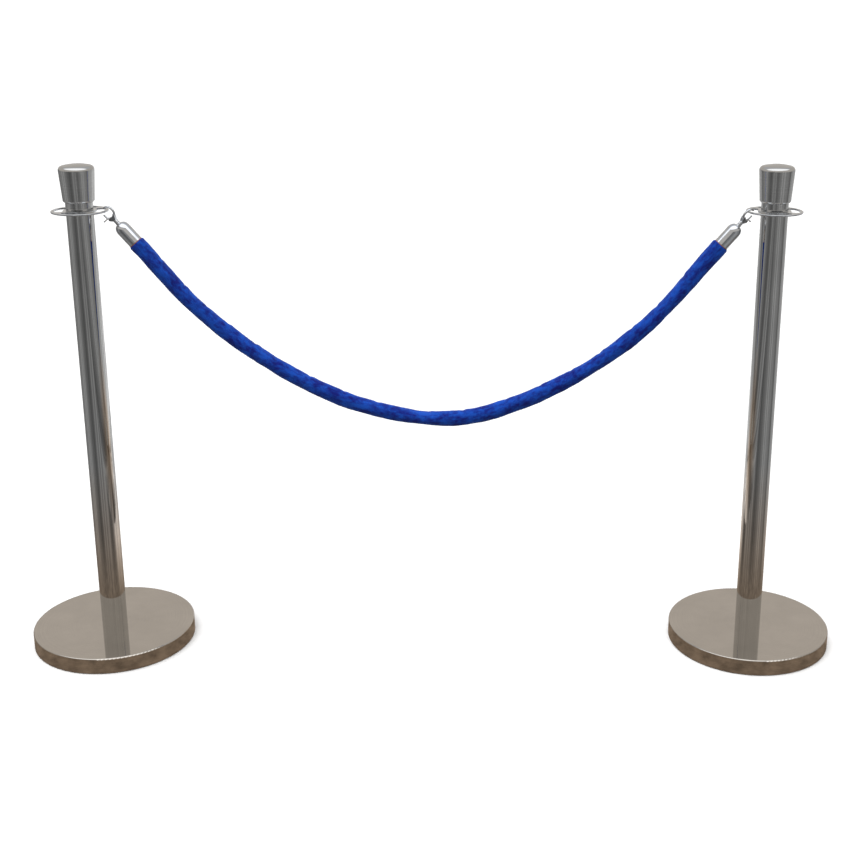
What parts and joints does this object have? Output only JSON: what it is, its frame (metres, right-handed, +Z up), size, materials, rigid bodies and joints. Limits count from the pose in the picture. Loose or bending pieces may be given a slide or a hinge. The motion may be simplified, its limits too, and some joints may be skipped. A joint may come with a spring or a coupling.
{
  "type": "rope stanchion set",
  "caption": "Pair of steel rope stanchions with crown tops and round flat bases, and a velvet barrier rope hung between their slotted ring plates by trigger-snap hooks",
  "frame": {"origin": "on the floor, midway between the two posts", "axes": "+X from the left post to the right post, +Z up, front towards -Y"},
  "size_m": [1.63, 0.322, 0.9765],
  "materials": {
    "polished_steel": "polished",
    "chrome_plate": "polished",
    "zinc_steel": "satin",
    "turned_steel": "satin",
    "spring_steel": "satin",
    "cast_weight": "matte",
    "rubber_foot": "matte",
    "blue_velvet": "matte",
    "rope_filling": "matte"
  },
  "bodies": {
    "posts": {"left_foot_ring": "rubber_foot", "left_base_weight": "cast_weight", "left_base_cover": "polished_steel", "left_base_washer": "zinc_steel", "left_base_bolt": "zinc_steel", "left_foot_plug": "turned_steel", "left_post_tube": "polished_steel", "left_head_plug": "turned_steel", "left_ring_plate": "polished_steel", "left_neck_collar": "polished_steel", "left_crown_insert": "turned_steel", "left_crown_shell": "polished_steel", "left_crown_stud": "zinc_steel", "right_foot_ring": "rubber_foot", "right_base_weight": "cast_weight", "right_base_cover": "polished_steel", "right_base_washer": "zinc_steel", "right_base_bolt": "zinc_steel", "right_foot_plug": "turned_steel", "right_post_tube": "polished_steel", "right_head_plug": "turned_steel", "right_ring_plate": "polished_steel", "right_neck_collar": "polished_steel", "right_crown_insert": "turned_steel", "right_crown_shell": "polished_steel", "right_crown_stud": "zinc_steel"},
    "rope": {"rope_core": "rope_filling", "rope_cover": "blue_velvet", "rope_screws": "zinc_steel", "left_ferrule": "chrome_plate", "left_swivel_washer": "zinc_steel", "right_ferrule": "chrome_plate", "right_swivel_washer": "zinc_steel"},
    "left_hook": {"left_hook": "chrome_plate", "left_gate_pin": "turned_steel", "left_gate_spring": "spring_steel"},
    "left_gate": {"left_gate": "chrome_plate"},
    "right_hook": {"right_hook": "chrome_plate", "right_gate_pin": "turned_steel", "right_gate_spring": "spring_steel"},
    "right_gate": {"right_gate": "chrome_plate"}
  },
  "joints": [
    {"name": "rope_swing", "type": "hinge", "parent": "posts", "child": "rope", "pos_m": [-0.60375, 0, 0.888], "axis": [0.9999, -0.0115, 0], "range_deg": [-20, 20]},
    {"name": "left_hook_swivel", "type": "hinge", "parent": "rope", "child": "left_hook", "pos_m": [-0.58234, -0.00024, 0.86293], "axis": [-0.6494, 0.0074, 0.7604], "range_deg": [-10, 25]},
    {"name": "left_gate_trigger", "type": "hinge", "parent": "left_hook", "child": "left_gate", "pos_m": [-0.59662, 0.00082, 0.87177], "axis": [0.1433, 0.9832, 0.1128], "range_deg": [0, 16], "stiffness_Nm_per_rad": 0.03, "springref_deg": -28.65, "deforming": ["left_gate_spring"]},
    {"name": "right_hook_swivel", "type": "hinge", "parent": "rope", "child": "right_hook", "pos_m": [0.58451, -0.01361, 0.86274], "axis": [0.6427, -0.0074, 0.766], "range_deg": [-40, 0]},
    {"name": "right_gate_trigger", "type": "hinge", "parent": "right_hook", "child": "right_gate", "pos_m": [0.59788, -0.01042, 0.87244], "axis": [0.4836, -0.7716, -0.4132], "range_deg": [0, 16], "stiffness_Nm_per_rad": 0.03, "springref_deg": -28.65, "deforming": ["right_gate_spring"]}
  ]
}
